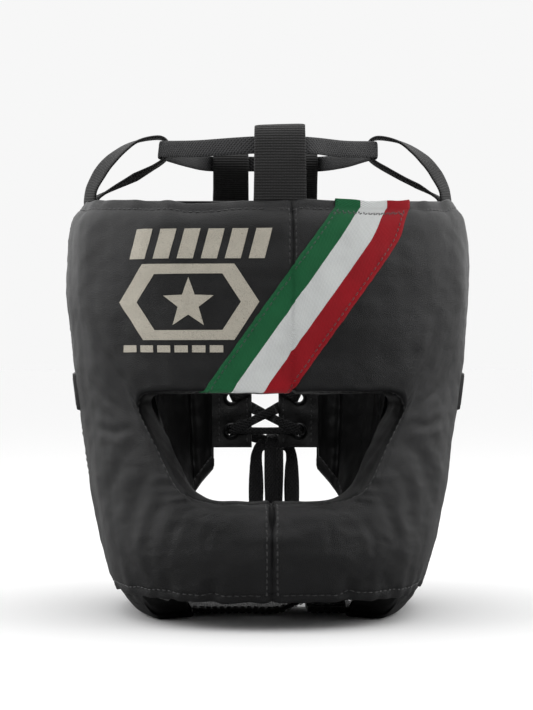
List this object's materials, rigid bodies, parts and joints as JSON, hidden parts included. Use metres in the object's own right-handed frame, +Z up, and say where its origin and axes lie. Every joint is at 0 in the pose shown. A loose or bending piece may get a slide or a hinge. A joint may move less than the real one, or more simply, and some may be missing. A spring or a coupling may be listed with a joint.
{
  "type": "boxing headgear",
  "caption": "Padded leather boxing headgear with a nose and chin bar, a trapezoid eye opening, rear lacing, crown webbing loops and a chin strap.",
  "frame": {"origin": "centre of the object's footprint, on the surface that it stands on", "axes": "+Z up; the eye opening and the bar face -Y; +X towards the wearer's left"},
  "size_m": [0.2448, 0.2522, 0.2903],
  "materials": {
    "cover_leather": "satin black grained cowhide",
    "lining_leather": "smooth soft black lining leather",
    "foam": "dark closed-cell foam",
    "ribbon_green": "green twill ribbon",
    "ribbon_white": "white twill ribbon",
    "ribbon_red": "red twill ribbon",
    "emblem_print": "pale metallic screen print",
    "webbing": "black ribbed nylon webbing",
    "lace": "black flat braided lace",
    "eyelet_metal": "black lacquered metal",
    "hook_pad": "black moulded hooks",
    "loop_pad": "black brushed loops"
  },
  "bodies": {
    "shell": {"front_cover_left": "cover_leather", "front_cover_right": "cover_leather", "forehead_foam": "foam", "bar_foam": "foam", "cheek_foam_left": "foam", "cheek_foam_right": "foam", "forehead_lining": "lining_leather", "bar_lining": "lining_leather", "cheek_lining_left": "lining_leather", "cheek_lining_right": "lining_leather", "eye_binding": "cover_leather", "ribbon_green": "ribbon_green", "ribbon_white": "ribbon_white", "ribbon_red": "ribbon_red", "printed_emblem": "emblem_print", "side_cover_left": "cover_leather", "side_cover_right": "cover_leather", "side_foam_left": "foam", "side_foam_right": "foam", "side_lining_left": "lining_leather", "side_lining_right": "lining_leather", "jaw_pad_left": "lining_leather", "jaw_pad_right": "lining_leather", "lower_binding_left": "lining_leather", "lower_binding_right": "lining_leather", "ear_ring_left": "cover_leather", "ear_ring_right": "cover_leather", "side_patch_left": "cover_leather", "side_patch_right": "cover_leather", "lacing_strip_left": "cover_leather", "lacing_strip_right": "cover_leather", "eyelets_left": "eyelet_metal", "eyelets_right": "eyelet_metal", "rear_lace": "lace", "lace_knot": "lace", "bow_loop_left": "lace", "bow_loop_right": "lace", "lace_tail_left": "lace", "lace_tail_right": "lace", "front_loop": "webbing", "side_loop_left": "webbing", "side_loop_right": "webbing", "rear_loop_left": "webbing", "rear_loop_right": "webbing", "crown_lace": "lace", "crown_knot": "lace", "strap_root": "webbing", "fastening_tab": "webbing", "loop_pad": "loop_pad"},
    "strap": {"chin_strap": "webbing", "hook_pad": "hook_pad"}
  },
  "joints": [
    {"name": "chin_strap_swing", "type": "hinge", "parent": "shell", "child": "strap", "pos_m": [-0.04671, -0.025, 0.003], "axis": [0, -1, 0], "range_deg": [0, 95]}
  ]
}
